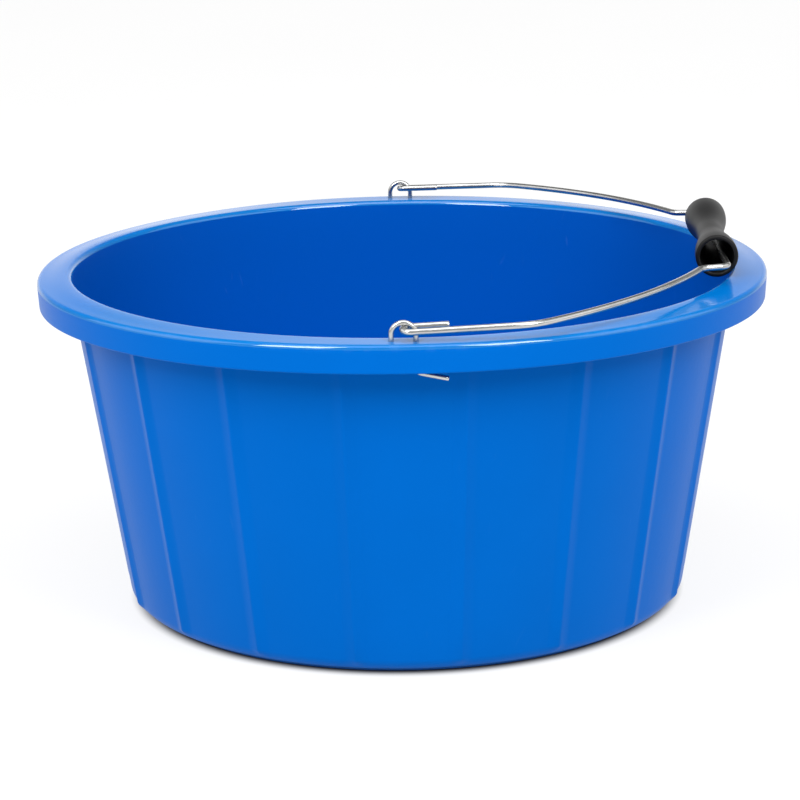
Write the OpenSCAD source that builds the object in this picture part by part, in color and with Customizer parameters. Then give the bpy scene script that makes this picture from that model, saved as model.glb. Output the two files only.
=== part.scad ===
// Shallow feed bucket: one moulded shell, two wire staples through its rim,
// a sprung-in wire bail that swings in the staples, and a loose moulded grip.
// Millimetres. +Z is up, the origin is on the floor under the bucket's centre,
// and the bail is folded down towards +X.

/* [Bucket] */
// Height from the floor to the top of the rim
rim_z = 186; // [150:1:230]
// Outer radius of the rim
rim_r = 200; // [180:1:240]
// Outer radius of the tapered wall where it meets the rim
wall_top_r = 183.4; // [175:0.1:184]
// Outward lean of the wall per millimetre of height
wall_lean = 0.157; // [0.10:0.001:0.20]
// Thickness of the moulded wall
wall_t = 2.8; // [2:0.1:4]
// Thickness of the base panel
base_t = 3.2; // [2.5:0.1:5]
// Radius of the rounded bottom corner
corner_r = 8.5; // [7:0.5:9]
// Radius of the rounded corner inside the bucket
inner_corner_r = 7.7; // [5:0.1:12]
// Radius of the rounded lip between the wall and the flat rim
lip_r = 3.2; // [2:0.1:4]
// Depth of the skirt that hangs from the rim's edge
skirt_h = 14.8; // [10:0.1:22]
// Inward draft of the skirt from top to bottom
skirt_draft = 0.7; // [0:0.1:1.5]
// Radius of the rounded outer edge of the rim
rim_edge_r = 2.4; // [1:0.1:2.6]

/* [Foot ring] */
// Outer radius of the ring that the bucket stands on
foot_r = 147; // [130:0.5:147.5]
// Width of the ring
foot_w = 5; // [3:0.5:8]
// Height of the ring
foot_h = 1.8; // [1:0.1:4]

/* [Wall ribs] */
// Number of ribs, evenly spaced with none at the staples
rib_count = 18; // [6:2:24]
// Width of a rib where it leaves the wall
rib_w = 10; // [5:0.5:12]
// Width of a rib's crest
rib_crest_w = 1.6; // [1:0.1:4]
// How far a rib stands out of the wall
rib_proud = 1.5; // [0.5:0.1:2.5]
// Height at which the ribs run out above the bottom corner
rib_low_z = 7; // [6:0.5:20]

/* [Staples] */
// Diameter of the staple wire
staple_wire = 2.7; // [2:0.1:3]
// Radius of the arch along the wire's centre
arch_r = 6.1; // [5.8:0.1:7]
// Distance of both staples from the bucket's centre
staple_y = 191.1; // [190.8:0.1:191.4]
// Height of the arch's centre over the rim
arch_lift = 3.3; // [3:0.1:4]
// Radius of the clinched bends under the rim
clinch_r = 3.5; // [2.5:0.1:4]
// Depth below the rim's top at which the loose leg bends
low_leg_drop = 12.8; // [12:0.1:14]
// Gap between the tight clinched end and the rim's underside
clinch_gap = 0.4; // [0.3:0.1:1]
// Clearance of the rim's holes on the wire
hole_gap = 0.3; // [0.2:0.1:0.6]
// Length of each clinched end
clinch_len = 13.4; // [6:0.1:14]
// Droop of the loose clinched end below level
clinch_droop = 12; // [0:1:20]

/* [Bail] */
// Diameter of the bail wire
bail_wire_d = 3.4; // [3:0.1:3.6]
// Height of the swing axis over the rim
hinge_lift = 5.8; // [5.5:0.1:6]
// Rise of the folded bail above level, in degrees
bail_rise = 1.6; // [1:0.1:4]
// Distance of each arm from the centre, at the swing axis
arm_y = 195.2; // [195:0.1:195.4]
// Inward turn of the first straight, in degrees
arm_toe = 4.6; // [3:0.1:5]
// Length of the first straight
arm_len = 50.8; // [40:0.1:56]
// Radius of the shoulder bend
shoulder_r = 35; // [20:1:50]
// Turn of the shoulder bend, in degrees
shoulder_turn = 32.6; // [31:0.1:34]
// Radius of the long bow
bow_r = 275; // [270:1:280]
// Turn of the long bow, in degrees
bow_turn = 28; // [27:0.1:29]
// Radius of the crank beside the grip
crank_r = 6; // [4:0.5:10]
// Outward turn of the crank, in degrees
crank_turn = 54.2; // [48:0.1:60]
// Straight between the crank and the corner
crank_len = 7; // [4:0.1:12]
// Radius of the corner into the cross-bar
corner_bend_r = 5.5; // [4:0.5:8]
// Radius of the hooked eye along the wire's centre
eye_r = 3.8; // [3.7:0.1:4.2]
// Twist of the eye out of the bail's plane, in degrees
eye_twist = 8; // [0:1:8]
// Length of the tail that lies beside the arm
tail_len = 19.5; // [10:0.5:30]

/* [Grip] */
// Length of the grip
grip_len = 110; // [90:1:116]
// Radius of the grip's flared ends
grip_end_r = 11.4; // [10:0.1:11.6]
// Radius of the grip's waist
grip_waist_r = 7.6; // [7:0.1:9]
// Half length of the even waist
grip_waist_len = 8; // [2:0.5:20]
// Length of the even rim at each end
grip_rim_len = 5; // [3:0.5:10]
// Radius of the rounded edge at each mouth
grip_edge_r = 1.2; // [0.5:0.1:1.2]
// Thickness of the grip's moulded wall
grip_wall = 2.5; // [2:0.1:2.5]
// Sag of the grip's axis behind the cross-bar
grip_back = 1.4; // [0:0.1:1.5]
// Rise of the grip's axis over the cross-bar
grip_up = 1.2; // [0:0.1:1.3]
// Slant of the loose grip on the cross-bar, in degrees
grip_slant = 2.6; // [0:0.1:2.8]

/* [Hidden] */
$fn = 96;

// Facets and steps on the big turned surfaces, on round wire and holes, and along drawn curves
turned_fn = 180;
wire_fn = 32;
arc_steps = 10;
curve_steps = 32;
// Tight bends are a hair fatter than the straights, and straights and gentle bends run a little way into them
bend_swell = 0.04;
lap = 0.25;
gentle_r = 100;
lean_deg = atan(wall_lean);
skin = wall_t / cos(lean_deg);
hole_d = staple_wire + hole_gap;
rib_root = 1.2;
// The tool that cuts a hole starts this far below the rim's top and passes this far above it
hole_depth = 2 * wall_t;
hole_over = wall_t;

hinge_z = rim_z + hinge_lift;
arch_z = rim_z + arch_lift;
leg_low_z = rim_z - low_leg_drop;
leg_high_z = rim_z - wall_t - clinch_gap - staple_wire / 2 - clinch_r;

corner_turn = 90 - arm_toe - shoulder_turn - bow_turn + crank_turn;
// Each step of the bail is [straight, bend radius, turn], walked from the eye to the cross-bar
bail_steps = [
    [arm_len, shoulder_r, shoulder_turn],
    [0, bow_r, bow_turn],
    [0, crank_r, -crank_turn],
    [crank_len, corner_bend_r, corner_turn],
];
// Where the arm starts, one eye radius out from the swing axis
arm_start = [eye_r, arm_y - eye_r * tan(arm_toe)];
bar = walk_end(arm_start, -arm_toe, bail_steps, 0);

grip_x = bar[0] * cos(bail_rise) - grip_back;
grip_z = hinge_z - eye_r * sin(eye_twist) + bar[0] * sin(bail_rise) + grip_up;

// Points of an arc about [x, y] from angle a to angle b
function arc(x, y, r, a, b) =
    [for (i = [0 : arc_steps]) let (t = a + (b - a) * i / arc_steps) [x + r * cos(t), y + r * sin(t)]];

// Outer radius of the wall at height z
function wall_r(z) = wall_top_r - wall_lean * (rim_z - z);

// End point of one straight and bend that start at p with heading h
function step_end(p, h, s) =
    let (q = p + s[0] * [cos(h), sin(h)], turn = -s[2], side = sign(turn))
    q + s[1] * side * [sin(h + turn) - sin(h), cos(h) - cos(h + turn)];

// End point of a whole chain of steps
function walk_end(p, h, steps, i) =
    i == len(steps) ? p : walk_end(step_end(p, h, steps[i]), h - steps[i][2], steps, i + 1);

// Half section of the shell: radius along X, height along Y
module shell_section() {
    inner_top_r = wall_top_r - skin;
    corner_x = wall_r(foot_h + corner_r) - corner_r / cos(lean_deg);
    floor_z = foot_h + base_t;
    inner_x = wall_r(floor_z + inner_corner_r) - skin - inner_corner_r / cos(lean_deg);
    skirt_r = rim_r - skirt_draft;
    skirt_z = rim_z - skirt_h;
    polygon(concat(
        [[0, foot_h], [foot_r - foot_w, foot_h], [foot_r - foot_w, 0], [foot_r, 0], [foot_r, foot_h]],
        arc(corner_x, foot_h + corner_r, corner_r, -90, -lean_deg),
        [[wall_r(rim_z - wall_t), rim_z - wall_t]],
        [[rim_r - wall_t, rim_z - wall_t], [skirt_r - wall_t, skirt_z], [skirt_r, skirt_z]],
        arc(rim_r - rim_edge_r, rim_z - rim_edge_r, rim_edge_r, 0, 90),
        arc(inner_top_r + lip_r, rim_z - lip_r, lip_r, 90, 180 - lean_deg),
        arc(inner_x, floor_z + inner_corner_r, inner_corner_r, -lean_deg, -90),
        [[0, floor_z]]
    ));
}

// One upright rib on the front of the wall, rooted in the wall and following its lean
module rib() {
    length = (rim_z - wall_t / 2 - rib_low_z) / cos(lean_deg);
    translate([0, -wall_r(rib_low_z), rib_low_z])
    rotate([lean_deg, 0, 0])
    linear_extrude(height = length)
    polygon([
        [-rib_w / 2, rib_root], [-rib_w / 2, 0], [-rib_crest_w / 2, -rib_proud],
        [rib_crest_w / 2, -rib_proud], [rib_w / 2, 0], [rib_w / 2, rib_root],
    ]);
}

module bucket_shell() {
    color("royalblue")
    difference() {
        union() {
            rotate_extrude($fn = turned_fn) shell_section();
            for (i = [0 : rib_count - 1]) rotate([0, 0, (i + 1 / 2) * 360 / rib_count]) rib();
        }
        for (x = [-arch_r, arch_r], y = [-staple_y, staple_y])
            translate([x, y, rim_z - hole_depth])
            cylinder(d = hole_d, h = hole_depth + hole_over, $fn = wire_fn);
    }
}

// Straight of wire from the origin along +X
module wire_straight(d, length) {
    translate([-lap, 0, 0])
    rotate([0, 90, 0])
    cylinder(d = d, h = length + 2 * lap, $fn = wire_fn);
}

// Bend of wire that starts at the origin along +X and turns right, or left for a negative turn
module wire_bend(d, r, turn) {
    lap_deg = r < gentle_r ? 0 : lap / r * 180 / PI;
    tube_d = r < gentle_r ? d + bend_swell : d;
    mirror([0, turn > 0 ? 1 : 0, 0])
    translate([0, r, 0])
    rotate([0, 0, -90 - lap_deg])
    rotate_extrude(angle = abs(turn) + 2 * lap_deg, $fn = turned_fn)
    translate([r, 0]) circle(d = tube_d, $fn = wire_fn);
}

// Chain of straights and bends, each drawn where the last one ends
module wire_chain(d, steps, i = 0) {
    if (i < len(steps)) {
        s = steps[i];
        side = sign(s[2]);
        if (s[0] > 0) wire_straight(d, s[0]);
        if (side != 0)
            translate([s[0], 0, 0]) {
                wire_bend(d, s[1], s[2]);
                translate([s[1] * sin(abs(s[2])), -side * s[1] * (1 - cos(s[2])), 0])
                rotate([0, 0, -s[2]])
                wire_chain(d, steps, i + 1);
            }
    }
}

// Wire hoop whose legs pass through the rim and are clinched below it
module staple() {
    color("silver") {
        translate([0, 0, arch_z])
        rotate([90, 0, 0])
        rotate_extrude(angle = 180)
        translate([arch_r, 0]) circle(d = staple_wire + bend_swell, $fn = wire_fn);
        staple_leg(leg_low_z, 90 - clinch_droop);
        mirror([1, 0, 0]) staple_leg(leg_high_z, 90);
    }
}

// Leg on the +X side, straight down to bend_z and then clinched outwards
module staple_leg(bend_z, turn) {
    translate([arch_r, 0, arch_z])
    rotate([90, 0, 0])
    rotate([0, 0, -90])
    wire_chain(staple_wire, [[arch_z - bend_z, clinch_r, -turn], [clinch_len, 0, 0]]);
}

module front_staple() {
    translate([0, -staple_y, 0]) staple();
}

module rear_staple() {
    translate([0, staple_y, 0]) rotate([0, 0, 180]) staple();
}

// The rear arm of the bail in the bail's own plane, from its tail and eye to the cross-bar's corner
module bail_arm() {
    translate([arm_start[0], arm_start[1], 0])
    rotate([0, 0, -arm_toe]) {
        wire_chain(bail_wire_d, bail_steps);
        rotate([-eye_twist, 0, 0])
        mirror([1, 0, 0]) wire_chain(bail_wire_d, [[0, eye_r, 180], [tail_len, 0, 0]]);
    }
}

module bail_wire() {
    color("gainsboro")
    translate([0, 0, hinge_z - eye_r * sin(eye_twist)])
    rotate([0, -bail_rise, 0]) {
        bail_arm();
        mirror([0, 1, 0]) bail_arm();
        translate([bar[0], -bar[1], 0]) rotate([0, 0, 90]) wire_straight(bail_wire_d, 2 * bar[1]);
    }
}

// Outer radius of the grip at distance y from its middle
function grip_r(y) =
    let (span = grip_len / 2 - grip_rim_len - grip_waist_len,
         t = min(max((y - grip_waist_len) / span, 0), 1))
    grip_waist_r + (grip_end_r - grip_waist_r) * (1 - cos(180 * t)) / 2;

// Half section of the grip: radius along X, length along Y
module grip_section() {
    half = grip_len / 2;
    edge_x = grip_end_r - grip_edge_r;
    edge_y = half - grip_edge_r;
    step = (half - grip_rim_len) / curve_steps;
    side = [for (i = [-curve_steps : curve_steps]) [grip_r(abs(i * step)), i * step]];
    bore = [for (i = [curve_steps : -1 : -curve_steps]) [grip_r(abs(i * step)) - grip_wall, i * step]];
    polygon(concat(
        arc(edge_x, -edge_y, grip_edge_r, -90, 0),
        side,
        arc(edge_x, edge_y, grip_edge_r, 0, 90),
        [[grip_end_r - grip_wall, half]],
        bore,
        [[grip_end_r - grip_wall, -half]]
    ));
}

module hand_grip() {
    color([0.12, 0.12, 0.12])
    translate([grip_x, 0, grip_z])
    rotate([0, 0, -grip_slant])
    rotate([-90, 0, 0])
    rotate_extrude() grip_section();
}

bucket_shell();
front_staple();
rear_staple();
bail_wire();
hand_grip();
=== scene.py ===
"""Shallow moulded feed bucket with a wire bail and a loose moulded grip.

Lengths in the shape functions are millimetres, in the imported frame: +Z up, the origin on the
floor under the bucket's centre, the bail folded down towards +X. Meshes are made in metres.
"""
import math

import bpy
import numpy as np
from mathutils import Matrix, Vector


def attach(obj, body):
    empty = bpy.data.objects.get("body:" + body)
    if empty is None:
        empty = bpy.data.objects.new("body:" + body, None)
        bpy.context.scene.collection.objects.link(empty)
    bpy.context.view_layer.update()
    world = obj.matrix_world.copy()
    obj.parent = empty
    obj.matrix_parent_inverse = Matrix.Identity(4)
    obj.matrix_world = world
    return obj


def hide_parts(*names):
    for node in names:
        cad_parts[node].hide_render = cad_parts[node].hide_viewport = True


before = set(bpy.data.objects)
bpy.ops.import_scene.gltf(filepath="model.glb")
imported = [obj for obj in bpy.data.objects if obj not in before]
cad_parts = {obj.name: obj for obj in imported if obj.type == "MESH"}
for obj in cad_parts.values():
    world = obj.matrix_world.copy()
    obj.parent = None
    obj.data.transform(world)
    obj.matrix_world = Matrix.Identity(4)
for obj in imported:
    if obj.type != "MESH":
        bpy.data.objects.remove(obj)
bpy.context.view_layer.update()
MM = 0.001

# ---------------------------------------------------------------- camera

CAMERA_AT = Vector((-2.2, -1597.6, 519.8)) * MM
CAMERA_PITCH = math.radians(14.483)
CAMERA_ROLL = math.radians(-0.972)
CAMERA_LENS, CAMERA_SENSOR, CAMERA_REACH = 133.12, 36, 50


def aim_camera():
    """Camera on the front side, pitched down, turned a little about its own line of sight."""
    ahead = Vector((0, math.cos(CAMERA_PITCH), -math.sin(CAMERA_PITCH)))
    right = Vector((1, 0, 0))
    up = right.cross(ahead)
    c, s = math.cos(CAMERA_ROLL), math.sin(CAMERA_ROLL)
    right, up = right * c + up * s, up * c - right * s
    data = bpy.data.cameras.new("camera")
    data.lens = CAMERA_LENS
    data.sensor_width = CAMERA_SENSOR
    data.clip_end = CAMERA_REACH
    camera = bpy.data.objects.new("camera", data)
    bpy.context.scene.collection.objects.link(camera)
    turn = Matrix((right, up, -ahead)).transposed().to_4x4()
    camera.matrix_world = Matrix.Translation(CAMERA_AT) @ turn
    bpy.context.scene.camera = camera


aim_camera()

# ---------------------------------------------------------------- sizes of the moulding

RIM_Z, RIM_R = 186.0, 199.93
WALL_TOP_R, WALL_LEAN, WALL_T, BASE_T = 183.4, 0.157, 2.8, 3.2
LEAN = math.atan(WALL_LEAN)
CORNER_R, INNER_CORNER_R, LIP_R = 8.5, 7.7, 3.2
SKIRT_H, SKIRT_DRAFT, RIM_EDGE_R = 14.8, 0.7, 2.4
NECK_R, SKIRT_ROOT_R, SKIRT_IN_R, SKIRT_OUT_R = 1.2, 1.5, 0.5, 0.9
FOOT_R, FOOT_W, FOOT_H, FOOT_EDGE_R = 147.0, 5.0, 1.8, 0.7
POLE_R = 8
RIM_DROOP, DROOP_FROM_R, SKIRT_FROM_Z, RIM_WAVE = 2.2, 184, (165, 172), 0.07

RIBS, RIB_PROUD, RIB_HALF, RIB_CREST, RIB_LOW_Z, RIB_POWER = 18, 1.8, 6.0, 0.8, 3.5, 1.5
RIB_DEGREES, RIB_COLUMNS, RIB_CROWDING, GAP_COLUMNS = 2.6, 25, 1.3, 10

GLOSS_FROM, GLOSS_FULL = 2.4, 2.0
FLAT_FROM, FLAT_FULL, FLAT_DULLING = 1.0, 0.5, 0.76
SIDE_FROM, SIDE_FULL, SIDE_DULLING = 0.55, 0.9, 0.6

# ---------------------------------------------------------------- sizes of the wires and the grip

STAPLE_D, ARCH_R, STAPLE_Y, ARCH_LIFT = 2.7, 6.1, 191.1, 3.3
LOW_LEG_DROP, CLINCH_GAP = 12.8, 0.4
CLINCH_R, CLINCH_LEN, CLINCH_DROOP = 3.5, 13.4, 12.0
STAPLE_FACETS = 0.4

BAIL_D, HINGE_LIFT, BAIL_RISE, ARM_Y, ARM_TOE = 3.4, 5.8, 1.6, 195.2, 4.6
EYE_R, EYE_TWIST, TAIL_LEN, EYE_FACETS = 3.8, 8.0, 19.5, 0.3
SHOULDER, BOW, CRANK = (50.8, 35.0, 32.6), (0.0, 275.0, 28.0), (0.0, 6.0, -54.2)
CORNER = (7.0, 5.5, 90 - ARM_TOE - SHOULDER[2] - BOW[2] - CRANK[2])
ARM_AT = (EYE_R, ARM_Y - EYE_R * math.tan(math.radians(ARM_TOE)))
ARM_STEPS = [SHOULDER, BOW, CRANK, CORNER]
HINGE_Z = RIM_Z + HINGE_LIFT - EYE_R * math.sin(math.radians(EYE_TWIST))

GRIP_LEN, GRIP_END_R, GRIP_WAIST_R, GRIP_WAIST_LEN = 110.0, 11.38, 7.6, 8.0
GRIP_RIM_LEN, GRIP_EDGE_R, GRIP_WALL, GRIP_LIP_FLAT = 5.0, 1.2, 2.5, 0.2
GRIP_BACK, GRIP_UP, GRIP_SLANT = 1.4, 1.2, 2.6

# ---------------------------------------------------------------- mesh tools


def rotation(axis, degrees):
    """3x3 matrix that turns column vectors by degrees about X, Y or Z."""
    return np.array(Matrix.Rotation(math.radians(degrees), 3, axis))


def arc(centre, radius, start, end, steps=8):
    """Points of an arc: centre + radius * (cos t, sin t), t evenly from start to end degrees."""
    t = np.radians(np.linspace(start, end, steps + 1))
    return np.stack([centre[0] + radius * np.cos(t), centre[1] + radius * np.sin(t)], 1)


def straight(a, b, steps):
    """Points a + (b - a) * t, t evenly from 0 to 1."""
    t = np.linspace(0, 1, steps + 1)[:, None]
    return np.array(a) + (np.array(b) - np.array(a)) * t


def apart(points):
    """True for each point that isn't the one before it over again."""
    step = np.linalg.norm(np.diff(points, axis=0), axis=1)
    return np.concatenate([[True], step > 1e-4])


def chain(*runs):
    """Runs of points end to end, each repeated point kept once."""
    points = np.concatenate(runs)
    return points[apart(points)]


def smoothstep(x, low, high):
    """3t^2 - 2t^3 with t = (x - low) / (high - low), held between 0 and 1."""
    t = np.clip((x - low) / (high - low), 0, 1)
    return t * t * (3 - 2 * t)


def grid_faces(at, rows, columns):
    """Quads between neighbouring rows and columns, where at(row, column) is a point's number."""
    i, j = np.meshgrid(np.arange(rows), np.arange(columns), indexing="ij")
    corners = [at(i, j), at(i, j + 1), at(i + 1, j + 1), at(i + 1, j)]
    return np.stack(corners, -1).reshape(-1, 4)


def closed_grid(rings):
    """Points, quads and pole triangles of rings[row, column, 3], closed round the columns.

    The first and last rows are shrunk to one point each, so the surface has no open end."""
    rows, columns = rings.shape[:2]
    middle = rings[1:-1].reshape(-1, 3)
    points = np.concatenate([rings[:1].mean(1), middle, rings[-1:].mean(1)])
    at = lambda row, column: 1 + row * columns + column % columns
    j = np.arange(columns)
    first = np.stack([np.zeros_like(j), at(0, j + 1), at(0, j)], 1)
    last = np.stack([np.full_like(j, len(points) - 1), at(rows - 3, j), at(rows - 3, j + 1)], 1)
    return points, grid_faces(at, rows - 3, columns), np.concatenate([first, last])


def closed_loop_grid(rings):
    """Points and quads of rings[row, column, 3], closed round the rows and round the columns."""
    rows, columns = rings.shape[:2]
    at = lambda row, column: (row % rows) * columns + column % columns
    return rings.reshape(-1, 3), grid_faces(at, rows, columns), np.zeros((0, 3), int)


def make_piece(name, points, quads, tris, material, body, slot, node):
    """Mesh object from points in millimetres, standing for one CAD node and riding on its body.

    Its faces are turned round if they enclose a negative volume."""
    halves = np.concatenate([quads[:, [0, 1, 2]], quads[:, [0, 2, 3]], tris])
    a, b, c = (points[halves[:, k]] for k in range(3))
    if np.einsum("ij,ij->", a, np.cross(b, c)) < 0:
        quads, tris = quads[:, ::-1], tris[:, ::-1]
    mesh = bpy.data.meshes.new(name)
    loops = np.concatenate([quads.ravel(), tris.ravel()]).astype(np.int32)
    sizes = np.concatenate([np.full(len(quads), 4), np.full(len(tris), 3)])
    starts = np.concatenate([[0], np.cumsum(sizes)[:-1]]).astype(np.int32)
    mesh.vertices.add(len(points))
    mesh.vertices.foreach_set("co", (points * MM).astype(np.float32).ravel())
    mesh.loops.add(len(loops))
    mesh.loops.foreach_set("vertex_index", loops)
    mesh.polygons.add(len(sizes))
    mesh.polygons.foreach_set("loop_start", starts)
    mesh.update(calc_edges=True)
    mesh.validate()
    mesh.shade_smooth()
    mesh.materials.append(material)
    piece = bpy.data.objects.new(name, mesh)
    bpy.context.scene.collection.objects.link(piece)
    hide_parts(node)
    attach(piece, body)
    return piece


# ---------------------------------------------------------------- shader tools


class Value:
    """A socket of one node tree. Arithmetic on it adds Math nodes; node() adds any other node."""

    def __init__(self, tree, socket=None):
        self.tree, self.socket = tree, socket

    def node(self, kind, settings=None, inputs=None, out=0):
        """Adds a shader node: its settings first, then the values or links of its sockets."""
        made = self.tree.nodes.new("ShaderNode" + kind)
        for key, value in (settings or {}).items():
            setattr(made, key, value)
        for key, value in (inputs or {}).items():
            if isinstance(value, Value):
                self.tree.links.new(value.socket, made.inputs[key])
            else:
                made.inputs[key].default_value = value
        return Value(self.tree, made.outputs[out] if len(made.outputs) else None)

    def math(self, operation, *terms):
        return self.node("Math", {"operation": operation}, dict(enumerate(terms)))

    def __add__(self, other): return self.math("ADD", self, other)
    def __radd__(self, other): return self.math("ADD", other, self)
    def __sub__(self, other): return self.math("SUBTRACT", self, other)
    def __rsub__(self, other): return self.math("SUBTRACT", other, self)
    def __mul__(self, other): return self.math("MULTIPLY", self, other)
    def __rmul__(self, other): return self.math("MULTIPLY", other, self)
    def __pow__(self, other): return self.math("POWER", self, other)

    def ramp(self, low, high):
        """0 below low and 1 above high, smooth between; low above high turns it round."""
        if low > high:
            return 1 - self.ramp(high, low)
        return self.node("MapRange", {"interpolation_type": "SMOOTHSTEP"},
                         {"Value": self, "From Min": low, "From Max": high})

    def part(self, axis):
        return self.node("SeparateXYZ", None, {0: self}, out="XYZ".index(axis))

    def noise(self, scale, detail=2.0, roughness=0.5, stretch=(1, 1, 1), turn=(0, 0, 0)):
        """Noise of about 0 to 1 here, with scale cells to a metre, stretched and turned."""
        place = self.node("Mapping", None, {"Vector": self, "Rotation": turn, "Scale": stretch})
        return self.node("TexNoise", None, {"Vector": place, "Scale": scale, "Detail": detail,
                                            "Roughness": roughness})

    def mix(self, a, b):
        """Colour a where this mask is 0 and colour b where it is 1."""
        a, b = (v if isinstance(v, Value) else (*v, 1) for v in (a, b))
        return self.node("Mix", {"data_type": "RGBA"}, {0: self, 6: a, 7: b}, out=2)

    def bump(self, distance, normal=None):
        """Normal of a surface raised by this height times distance, in metres."""
        sockets = {"Height": self, "Distance": distance, "Strength": 1.0}
        if normal:
            sockets["Normal"] = normal
        return self.node("Bump", None, sockets)


def new_material(name):
    """A new material, its empty tree as a Value, and its object coordinates."""
    material = bpy.data.materials.new(name)
    material.use_nodes = True
    material.node_tree.nodes.clear()
    tree = Value(material.node_tree)
    return material, tree, tree.node("TexCoord", out="Object")


def finish_material(tree, **sockets):
    """Principled surface to the output. Underscores in a socket's name stand for spaces."""
    sockets = {key.replace("_", " "): value for key, value in sockets.items()}
    shader = tree.node("BsdfPrincipled", None, sockets)
    tree.node("OutputMaterial", None, {"Surface": shader})


# ---------------------------------------------------------------- finishes

WALL_BLUES = (0.0, 0.112, 0.475), (0.0, 0.117, 0.495)
# The next line is painted shade: the inside blues are darker than the outer wall, for the shade
# inside the bowl.
INSIDE_PAINTED_SHADE_BLUES = (0.0, 0.066, 0.365), (0.0, 0.072, 0.398)
# The rim blue is painted light: a paler blue for the light the rim's top catches from above; the
# scuffed blue is real wear.
RIM_PAINTED_LIGHT_BLUE, SCUFFED_BLUE = (0.0, 0.138, 0.440), (0.20, 0.36, 0.78)
BLUE_SHEEN = (0.15, 0.5, 1.0, 1.0)
BAIL_METALS = (0.62, 0.62, 0.61), (0.42, 0.42, 0.41)
STAPLE_METALS = (0.63, 0.63, 0.62), (0.42, 0.42, 0.41)
GRIP_BLACKS = (0.0022, 0.0022, 0.0024), (0.007, 0.007, 0.0074)
FLOOR_GREYS = (0.16, 0.16, 0.16), (0.15, 0.15, 0.15)


def wall_r(z):
    """Outer radius of the tapered wall at height z."""
    return WALL_TOP_R - WALL_LEAN * (RIM_Z - z)


def wall_middle_r(z):
    """Radius in metres of a cone between the wall's two faces, at a height in metres."""
    return z * WALL_LEAN + (wall_r(0) - WALL_T / 2) * MM


def moulded_blue():
    """Blue polyethylene: polished rim, satin walls, flow mottling, fine marks, scuffed foot.

    The gloss attribute is the share of polish: 1 on the rim's roundings, less on its flat. It also
    marks the rim's top, which is painted a paler blue as painted light from above."""
    material, tree, place = new_material("moulded_blue")
    x, y, z = (place.part(axis) for axis in "XYZ")
    radius = (x * x + y * y) ** 0.5
    gloss = tree.node("Attribute", {"attribute_name": "gloss"}, out="Fac")
    rim = gloss.ramp(0, 0.15)
    foot = z.ramp(0.0022, 0.0008)
    inside = (wall_middle_r(z) - radius).ramp(0, 0.0005) * z.ramp(0.0045, 0.0048)

    mottle = place.noise(11, 3, 0.55)
    grain = place.noise(1400, 2, 0.6)
    peel = place.noise(260, 2, 0.5)
    long_marks = place.noise(60, 1, 0.4, (1, 9, 1), (0.3, 0.2, 0.9)).ramp(0.72, 0.80)
    cross_marks = place.noise(70, 1, 0.4, (8, 1, 1), (0.5, 0.1, 0.4)).ramp(0.73, 0.81)
    handled = place.noise(16, 3, 0.6).ramp(0.46, 0.72)
    marks = (long_marks + cross_marks) * handled
    knocked = place.noise(120, 3, 0.7).ramp(0.45, 0.75)
    edge = radius.ramp(0.1972, 0.1992) * z.ramp(0.1815, 0.1848) * knocked

    # Painted shade: the inside is a darker blue than the outer wall, darker still towards its top.
    blue = inside.mix(mottle.ramp(0.3, 0.7).mix(*WALL_BLUES),
                      z.ramp(0.19, 0.10).mix(*INSIDE_PAINTED_SHADE_BLUES))
    # Painted light: the rim's top, where it is polished, is a paler blue for the light it catches
    # from above.
    blue = rim.mix(blue, RIM_PAINTED_LIGHT_BLUE)
    blue = (marks * 0.04 + edge * 0.06 + foot * 0.18).mix(blue, SCUFFED_BLUE)
    rough = (0.30 - rim * 0.24 + mottle * 0.04 + grain * 0.02
             + marks * 0.08 + edge * 0.06 + foot * 0.25)
    normal = (peel * (1 - rim * 0.6)).bump(0.00004)
    normal = (grain + marks * 0.8).bump(0.000012, normal)
    finish_material(tree, Base_Color=blue, Roughness=rough, Normal=normal, IOR=1.13,
                    Specular_Tint=BLUE_SHEEN, Coat_Weight=gloss, Coat_Roughness=0.03,
                    Coat_IOR=1.7)
    return material


def drawn_wire(name, metals):
    """Galvanised drawn wire: streaks along its length, from the grain attribute, and clouding."""
    material, tree, place = new_material(name)
    along = tree.node("Attribute", {"attribute_name": "grain"}, out="Vector")
    streak = along.noise(1.0, 3, 0.6, (2.6, 2.6, 0.05))
    fine = along.noise(1.0, 2, 0.6, (9, 9, 0.25))
    cloud = place.noise(90, 3, 0.6)
    metal = (streak.ramp(0.35, 0.65) * 0.7 + cloud.ramp(0.4, 0.7) * 0.3).mix(*metals)
    rough = 0.19 + streak * 0.08 + cloud * 0.06
    normal = (streak + fine * 0.4).bump(0.00002)
    finish_material(tree, Base_Color=metal, Metallic=1.0, Roughness=rough, Normal=normal)
    return material


def satin_black():
    """Black moulded grip: satin, with a fine spark-eroded grain and a few paler specks."""
    material, tree, place = new_material("satin_black")
    grain = place.noise(1500, 3, 0.65)
    cloud = place.noise(60, 3, 0.6)
    specks = place.noise(700, 1, 0.4).ramp(0.74, 0.80)
    black = (cloud.ramp(0.35, 0.7) * 0.6 + specks * 0.4).mix(*GRIP_BLACKS)
    rough = 0.38 + cloud * 0.08 + grain * 0.08
    normal = (grain + specks).bump(0.00003)
    finish_material(tree, Base_Color=black, Roughness=rough, Normal=normal, IOR=1.3)
    return material


# ---------------------------------------------------------------- bucket shell


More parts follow.
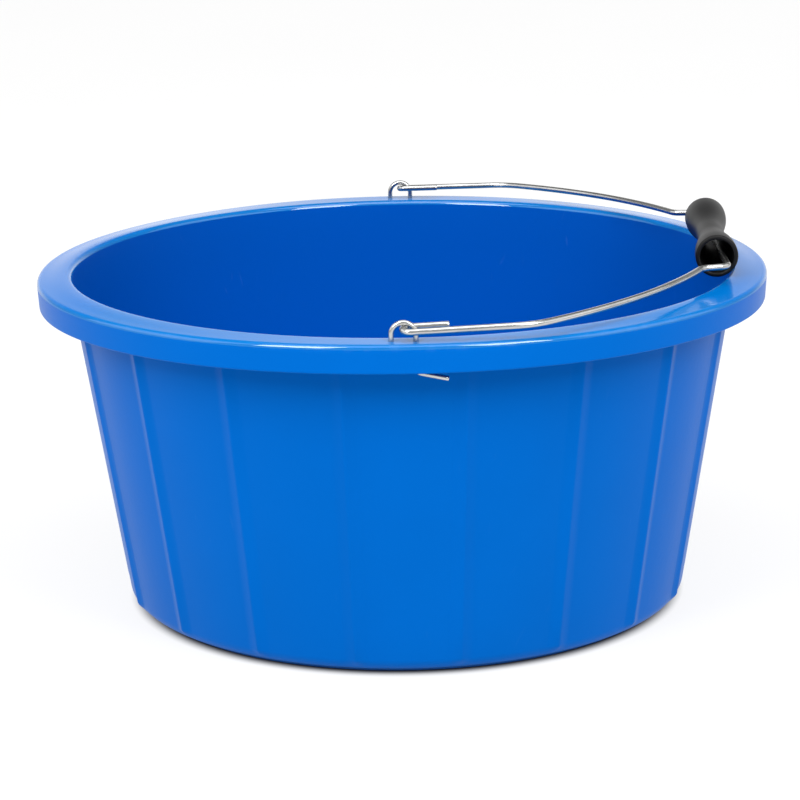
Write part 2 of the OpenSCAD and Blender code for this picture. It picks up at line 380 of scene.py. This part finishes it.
def shell_profile():
    """Half section as (radius, z) rows, from the middle of the underside round the rim to the
    middle of the floor.

    Also gives each row's share of the ribs' height: 1 on the outer wall, falling to 0 round the
    bottom corner, and 0 elsewhere."""
    lean = math.degrees(LEAN)
    skin = WALL_T / math.cos(LEAN)
    inner_top_r = WALL_TOP_R - skin
    corner_z = FOOT_H + CORNER_R
    corner_x = wall_r(corner_z) - CORNER_R / math.cos(LEAN)
    floor_z = FOOT_H + BASE_T
    inner_z = floor_z + INNER_CORNER_R
    inner_x = wall_r(inner_z) - skin - INNER_CORNER_R / math.cos(LEAN)
    skirt_r, skirt_z, under_z = RIM_R - SKIRT_DRAFT, RIM_Z - SKIRT_H, RIM_Z - WALL_T
    skirt_in_r, foot_in_r = RIM_R - WALL_T, FOOT_R - FOOT_W
    turn = FOOT_EDGE_R
    under = chain(
        [[0, FOOT_H]], straight((POLE_R, FOOT_H), (foot_in_r - turn, FOOT_H), 8),
        arc((foot_in_r - turn, FOOT_H - turn), turn, 90, 0, 4),
        arc((foot_in_r + turn, turn), turn, 180, 270, 4),
        arc((FOOT_R - turn, turn), turn, -90, 0, 4),
        [[FOOT_R, FOOT_H - 0.3], [FOOT_R + 0.2, FOOT_H]])
    wall = chain(
        arc((corner_x, corner_z), CORNER_R, -90, -lean, 12),
        straight((wall_r(corner_z), corner_z), (wall_r(under_z - 2), under_z - 2), 12)[1:],
        arc((wall_r(under_z) + NECK_R, under_z - NECK_R), NECK_R, 180, 90, 5))
    rim = chain(
        straight((wall_r(under_z) + 2.6, under_z), (skirt_in_r - SKIRT_ROOT_R, under_z), 4),
        arc((skirt_in_r - SKIRT_ROOT_R, under_z - SKIRT_ROOT_R), SKIRT_ROOT_R, 90, 0, 5),
        straight((skirt_in_r - 0.1, under_z - 2), (skirt_r - WALL_T, skirt_z + SKIRT_IN_R), 3),
        arc((skirt_r - WALL_T + SKIRT_IN_R, skirt_z + SKIRT_IN_R), SKIRT_IN_R, 180, 270, 4),
        arc((skirt_r - SKIRT_OUT_R, skirt_z + SKIRT_OUT_R), SKIRT_OUT_R, -90, 0, 6),
        straight((skirt_r + 0.05, skirt_z + 1.8), (RIM_R, RIM_Z - RIM_EDGE_R), 6),
        arc((RIM_R - RIM_EDGE_R, RIM_Z - RIM_EDGE_R), RIM_EDGE_R, 0, 90, 12),
        straight((RIM_R - RIM_EDGE_R, RIM_Z), (inner_top_r + LIP_R, RIM_Z), 8),
        arc((inner_top_r + LIP_R, RIM_Z - LIP_R), LIP_R, 90, 180 - lean, 12),
        straight((inner_top_r - WALL_LEAN * LIP_R, RIM_Z - LIP_R),
                 (wall_r(inner_z) - skin, inner_z), 14)[1:-1],
        arc((inner_x, inner_z), INNER_CORNER_R, -lean, -90, 12),
        straight((inner_x - 2, floor_z), (POLE_R, floor_z), 8), [[0, floor_z]])
    share = smoothstep(wall[:, 1], RIB_LOW_Z, corner_z - 1)
    share = np.concatenate([np.zeros(len(under)), share, np.zeros(len(rim))])
    return np.concatenate([under, wall, rim]), share


def shell_angles():
    """Directions of the columns in degrees from the front, close together over each rib and wide
    apart between, and the pitch of the ribs."""
    pitch = 360 / RIBS
    t = np.linspace(-1, 1, RIB_COLUMNS)
    near = RIB_DEGREES * np.sign(t) * np.abs(t) ** RIB_CROWDING
    gap = np.linspace(RIB_DEGREES, pitch - RIB_DEGREES, GAP_COLUMNS)[1:-1]
    one = np.concatenate([near, gap])
    return (np.arange(RIBS)[:, None] * pitch + pitch / 2 + one).ravel(), pitch


def rim_gloss(z, a):
    """Polish by row and column: 1 on the rim's roundings, from GLOSS_FROM below its top, less on
    its flat, and less where the size of sin a nears 1, at the sides."""
    deep = RIM_Z - z
    gloss = 1 - smoothstep(deep, GLOSS_FULL, GLOSS_FROM)
    flat = 1 - smoothstep(deep, FLAT_FULL, FLAT_FROM)
    side = smoothstep(np.abs(np.sin(a)), SIDE_FROM, SIDE_FULL)
    return gloss * (1 - FLAT_DULLING * flat) * (1 - SIDE_DULLING * side)


def make_shell(material):
    """Moulded bucket: shell_profile turned about Z.

    Ribs: on the outer wall the point moves out by RIB_PROUD * t^RIB_POWER, where t falls from 1 at
    a crest to 0 at RIB_HALF along the wall, rounded over RIB_CREST. Rim: beyond the lip the
    surface sinks by up to RIM_DROOP times sin^2 of the direction, as a moulded rim does away from
    its staples, and rises and falls by a shallow wave of two sines."""
    rows, share = shell_profile()
    angles, pitch = shell_angles()
    r, z = rows[:, :1], rows[:, 1:]
    a = np.radians(angles)[None]
    gloss = rim_gloss(z, a)
    off = (angles + pitch) % pitch - pitch / 2
    along = np.radians(off)[None] * r
    soft = np.sqrt(along ** 2 + RIB_CREST ** 2) - RIB_CREST
    t = np.clip(1 - soft / RIB_HALF, 0, 1)
    r = r + share[:, None] * RIB_PROUD * t ** RIB_POWER
    rim = smoothstep(z, *SKIRT_FROM_Z)
    wave = RIM_WAVE * (np.sin(3 * a + 0.7) + np.sin(7 * a + 2.1)) - 0.05
    sink = smoothstep(r, DROOP_FROM_R, 200) * RIM_DROOP * np.sin(a) ** 2
    z = z + rim * (smoothstep(r, 181, 187) * wave - sink)
    rings = np.stack([r * np.sin(a), -r * np.cos(a), z + 0 * a], -1)
    piece = make_piece("bucket_moulding", *closed_grid(rings), material,
                       "bucket", "shell_plastic", "bucket_shell")
    gloss = np.concatenate([[0], gloss[1:-1].ravel(), [0]]).astype(np.float32)
    piece.data.attributes.new("gloss", "FLOAT", "POINT").data.foreach_set("value", gloss)


# ---------------------------------------------------------------- wires


def walk(start, heading, steps, gap=1.0):
    """Points and tangents in a plane: each step goes straight, then round a bend by a turn.

    Angles are in degrees, and a positive turn goes right. On a bend the point is
    p + radius * side * (sin h' - sin h, cos h - cos h'), with h' running from h to h - turn."""
    p, h = np.array(start, float), heading
    points, headings = [], []
    for length, radius, turn in steps:
        if length:
            s = np.linspace(0, length, max(2, int(length / gap / 4)))[:, None]
            points.append(p + s * [math.cos(math.radians(h)), math.sin(math.radians(h))])
            headings.append(np.full(len(s), h))
            p = points[-1][-1]
        if turn:
            bend = radius * math.radians(abs(turn))
            count = max(8, int(abs(turn) / 5), int(bend / gap / 4))
            t = np.radians(h - turn * np.linspace(0, 1, count + 1))
            t0, side = math.radians(h), -np.sign(turn)
            across = np.stack([np.sin(t) - math.sin(t0), math.cos(t0) - np.cos(t)], 1)
            points.append(p + radius * side * across)
            headings.append(np.degrees(t))
            p, h = points[-1][-1], h - turn
    points, headings = np.concatenate(points), np.concatenate(headings)
    keep = apart(points)
    t = np.radians(headings[keep])
    return points[keep], np.stack([np.cos(t), np.sin(t)], 1)


def lift(flat):
    """Plane points or vectors (x, y) as (x, y, 0)."""
    return np.concatenate([flat, np.zeros((len(flat), 1))], 1)


# how far in from a cut end, in millimetres, and the share of the wire's radius there
CUT_END = np.array([[0.0, 0.0], [0.0, 0.80], [0.05, 0.90], [0.2, 0.985]])
WIRE_COLUMNS = 24


def make_wire(name, path, diameter, material, body, slot, node):
    """Round wire along a path of points, tangents and normals.

    The surface is point + radius * (cos u * side + sin u * normal), side = normal x tangent. Each
    end is a flat cut face with a small worn edge. The grain attribute holds (radius cos u,
    radius sin u, length) in millimetres, for streaks that follow the wire."""
    points, tangents, normals = path
    count, radius = len(CUT_END), diameter / 2
    inset, size = CUT_END[:, :1], CUT_END[:, 1]
    points = np.concatenate([points[:1] + tangents[:1] * inset, points[1:-1],
                             points[-1:] - tangents[-1:] * inset[::-1]])
    tangents, normals = (
        np.concatenate([np.repeat(v[:1], count, 0), v[1:-1], np.repeat(v[-1:], count, 0)])
        for v in (tangents, normals))
    size = np.concatenate([size, np.ones(len(points) - 2 * count), size[::-1]])
    sides = np.cross(normals, tangents)
    u = np.linspace(0, 2 * math.pi, WIRE_COLUMNS, endpoint=False)[None, :, None]
    across = np.cos(u) * sides[:, None] + np.sin(u) * normals[:, None]
    rings = points[:, None] + radius * size[:, None, None] * across
    piece = make_piece(name, *closed_grid(rings), material, body, slot, node)
    length = np.cumsum(np.linalg.norm(np.diff(points, axis=0), axis=1))
    u, length = np.broadcast_arrays(u[..., 0], length[:-1, None])
    grain = np.stack([radius * np.cos(u), radius * np.sin(u), length], -1).reshape(-1, 3)
    grain = np.concatenate([[[0, 0, 0]], grain, [[0, 0, length[-1, 0]]]]).astype(np.float32)
    holder = piece.data.attributes.new("grain", "FLOAT_VECTOR", "POINT")
    holder.data.foreach_set("vector", grain.ravel())


def make_bail(material):
    """Wire bail: tail, eye, arm, shoulder, long bow, crank and corner on each side of a straight
    cross-bar.

    The eye and tail are twisted about the arm's line by EYE_TWIST, the arm is turned in by
    ARM_TOE, the front half mirrors the rear in Y, and the whole rises towards the grip by
    BAIL_RISE."""
    points, tangents = (lift(v) for v in walk((0, 0), 0, ARM_STEPS))
    hook = [(0, EYE_R, 180), (TAIL_LEN, 0, 0)]
    loop, loop_tangents = (lift(v) for v in walk((0, 0), 0, hook, EYE_FACETS))
    mirror, flip = np.array([-1, 1, 1]), np.array([1, -1, 1])
    twist = rotation("X", -EYE_TWIST)
    loop, loop_tangents = (loop * mirror) @ twist.T, -(loop_tangents * mirror) @ twist.T
    up = np.array([0, 0, 1.0])
    normals = np.concatenate([np.tile(twist @ up, (len(loop), 1)),
                              np.tile(up, (len(points) - 1, 1))])
    points = np.concatenate([loop[::-1], points[1:]])
    tangents = np.concatenate([loop_tangents[::-1], tangents[1:]])
    toe = rotation("Z", -ARM_TOE)
    points, tangents, normals = points @ toe.T + (*ARM_AT, 0), tangents @ toe.T, normals @ toe.T
    points = np.concatenate([points, points[::-1] * flip])
    tangents = np.concatenate([tangents, -tangents[::-1] * flip])
    normals = np.concatenate([normals, normals[::-1] * flip])
    rise = rotation("Y", -BAIL_RISE)
    path = points @ rise.T + (0, 0, HINGE_Z), tangents @ rise.T, normals @ rise.T
    make_wire("bail_handle_wire", path, BAIL_D, material, "bail", "bail_wire", "bail_wire")


def make_staple(name, node, y, side, material):
    """Wire hoop: an arch over the rim, with its legs bent outwards under it, in the plane y.

    The legs are walked down from the arch's ends; side is 1 where the loose leg is on +X."""
    arch_z = RIM_Z + ARCH_LIFT
    tight_z = RIM_Z - WALL_T - CLINCH_GAP - STAPLE_D / 2 - CLINCH_R
    tip = (CLINCH_LEN, 0, 0)
    (low, low_tangents), (high, high_tangents) = (
        walk((ARCH_R, arch_z), -90, [(arch_z - z, CLINCH_R, turn), tip], STAPLE_FACETS)
        for z, turn in ((RIM_Z - LOW_LEG_DROP, CLINCH_DROOP - 90), (tight_z, -90)))
    t = np.radians(np.linspace(180, 0, 33))[1:-1]
    arch = np.stack([ARCH_R * np.cos(t), arch_z + ARCH_R * np.sin(t)], 1)
    arch_tangents = np.stack([np.sin(t), -np.cos(t)], 1)
    flip = np.array([-1, 1])
    flat = np.concatenate([high[::-1] * flip, arch, low])
    heading = np.concatenate([-high_tangents[::-1] * flip, arch_tangents, low_tangents])
    points = np.stack([side * flat[:, 0], np.full(len(flat), y), flat[:, 1]], 1)
    tangents = np.stack([side * heading[:, 0], np.zeros(len(flat)), heading[:, 1]], 1)
    path = points, tangents, np.tile([0, 1.0, 0], (len(flat), 1))
    make_wire(name, path, STAPLE_D, material, "bucket", "staple_wire", node)


# ---------------------------------------------------------------- grip


def grip_r(y):
    """Outer radius at distance y from the middle: waist + (end - waist) * (1 - cos 180t) / 2."""
    half = GRIP_LEN / 2 - GRIP_RIM_LEN - GRIP_WAIST_LEN
    t = np.clip((np.abs(y) - GRIP_WAIST_LEN) / half, 0, 1)
    return GRIP_WAIST_R + (GRIP_END_R - GRIP_WAIST_R) * (1 - np.cos(math.pi * t)) / 2


def make_grip(material):
    """Hollow grip, turned about its own length: the outside and the bore follow grip_r, with
    rounded mouths. It hangs on the cross-bar, slanted a little."""
    half = GRIP_LEN / 2
    flat = half - GRIP_RIM_LEN
    y = np.linspace(-flat, flat, 61)
    outside = np.stack([grip_r(y), y], 1)
    bore = np.stack([grip_r(y[::-1]) - GRIP_WALL, y[::-1]], 1)
    edge, lip = GRIP_END_R - GRIP_EDGE_R, GRIP_END_R - GRIP_WALL
    turn = GRIP_WALL - GRIP_EDGE_R - GRIP_LIP_FLAT
    rows = chain(
        arc((edge, GRIP_EDGE_R - half), GRIP_EDGE_R, -90, 0), outside,
        arc((edge, half - GRIP_EDGE_R), GRIP_EDGE_R, 0, 90),
        arc((lip + turn, half - turn), turn, 90, 180), bore,
        arc((lip + turn, turn - half), turn, 180, 270))
    a = np.radians(np.linspace(0, 360, 96, endpoint=False))[None]
    r, y = rows[:, :1], rows[:, 1:]
    rings = np.stack([r * np.cos(a), y + 0 * a, r * np.sin(a)], -1)
    bar_x = walk(ARM_AT, -ARM_TOE, ARM_STEPS)[0][-1, 0]
    rise = math.radians(BAIL_RISE)
    centre = (bar_x * math.cos(rise) - GRIP_BACK, 0, HINGE_Z + bar_x * math.sin(rise) + GRIP_UP)
    rings = rings @ rotation("Z", -GRIP_SLANT).T + centre
    make_piece("moulded_grip", *closed_loop_grid(rings), material,
               "grip", "grip_plastic", "hand_grip")


# ---------------------------------------------------------------- studio

FLOOR_RADIUS, FLOOR_SIDES, FLOOR_DROP = 30, 128, 0.0002
LAMP_AIM_Z = 0.15

# name, degrees to the side, degrees up, width, height, power, distance: one at each side
SIDE_LAMPS = (("box", 35, 39, 0.50, 0.80, 13.0, 1.5), ("side", 84, 30, 1.7, 1.2, 7.0, 1.7))
LEFT_SHARE, RIGHT_SHARE = 1.04, 0.96


def floor_material():
    """Plain white floor of a light table: it glows, a little more away from the object, and not
    at all under it or at the edge of its base, which paints a dark contact shadow there."""
    material, tree, place = new_material("studio_floor")
    x, y = place.part("X"), place.part("Y")
    radius = (x * x + y * y) ** 0.5
    tone = place.noise(3, 2).ramp(0.3, 0.7).mix(*FLOOR_GREYS)
    # No glow inside about 157 mm: a painted contact shadow under and round the bucket's base.
    glow = radius.ramp(0.146, 0.157) * (0.82 + 0.08 * radius.ramp(0.2, 0.8))
    finish_material(tree, Base_Color=tone, Roughness=0.9, Emission_Color=glow,
                    Emission_Strength=1.0)
    return material


def make_sky():
    """Pale sky: even overhead, brighter at the horizon, brightest low down behind the object."""
    world = bpy.data.worlds.new("sky")
    world.use_nodes = True
    tree = Value(world.node_tree)
    toward = tree.node("TexCoord", out="Generated")
    low = toward.part("Z").ramp(0.6, 0.05)
    strength = 0.20 + 0.20 * low + 1.00 * low * toward.part("Y").ramp(0.70, 0.95)
    background = world.node_tree.nodes["Background"]
    background.inputs["Color"].default_value = (1, 1, 1, 1)
    tree.tree.links.new(strength.socket, background.inputs["Strength"])
    bpy.context.scene.world = world


def add_lamp(name, turn, up, width, height, power, far):
    """Rectangular lamp aimed at the bucket, turn degrees right of the front and up degrees above
    the floor."""
    light = bpy.data.lights.new(name, "AREA")
    light.shape, light.size, light.size_y, light.energy = "RECTANGLE", width, height, power
    lamp = bpy.data.objects.new(name, light)
    bpy.context.scene.collection.objects.link(lamp)
    a, e = math.radians(turn), math.radians(up)
    place = Vector((math.sin(a) * math.cos(e), -math.cos(a) * math.cos(e), math.sin(e))) * far
    lamp.location = place + Vector((0, 0, LAMP_AIM_Z))
    lamp.rotation_euler = (-place).to_track_quat("-Z", "Y").to_euler()


def make_studio():
    """Pale floor disc and sky, with a soft box and a wide side light on each side, and a soft
    light overhead."""
    t = np.linspace(0, 2 * math.pi, FLOOR_SIDES, endpoint=False)
    ring = np.stack([FLOOR_RADIUS * np.cos(t), FLOOR_RADIUS * np.sin(t),
                     np.full(FLOOR_SIDES, -FLOOR_DROP)], 1)
    mesh = bpy.data.meshes.new("floor")
    mesh.from_pydata(ring.tolist(), [], [list(range(FLOOR_SIDES))])
    mesh.materials.append(floor_material())
    floor = bpy.data.objects.new("floor", mesh)
    bpy.context.scene.collection.objects.link(floor)
    make_sky()
    for side, end, share in ((-1, "_left", LEFT_SHARE), (1, "_right", RIGHT_SHARE)):
        for name, turn, up, width, height, power, far in SIDE_LAMPS:
            add_lamp(name + end, side * turn, up, width, height, power * share, far)
    add_lamp("box_top", 0, 80, 1.2, 1.2, 12.0, 1.4)
    bpy.context.scene.view_settings.view_transform = "Standard"


# ---------------------------------------------------------------- the object

staple_metal = drawn_wire("drawn_staple_wire", STAPLE_METALS)
make_shell(moulded_blue())
make_bail(drawn_wire("drawn_bail_wire", BAIL_METALS))
make_staple("staple_at_front", "front_staple", -STAPLE_Y, 1, staple_metal)
make_staple("staple_at_rear", "rear_staple", STAPLE_Y, -1, staple_metal)
make_grip(satin_black())
make_studio()
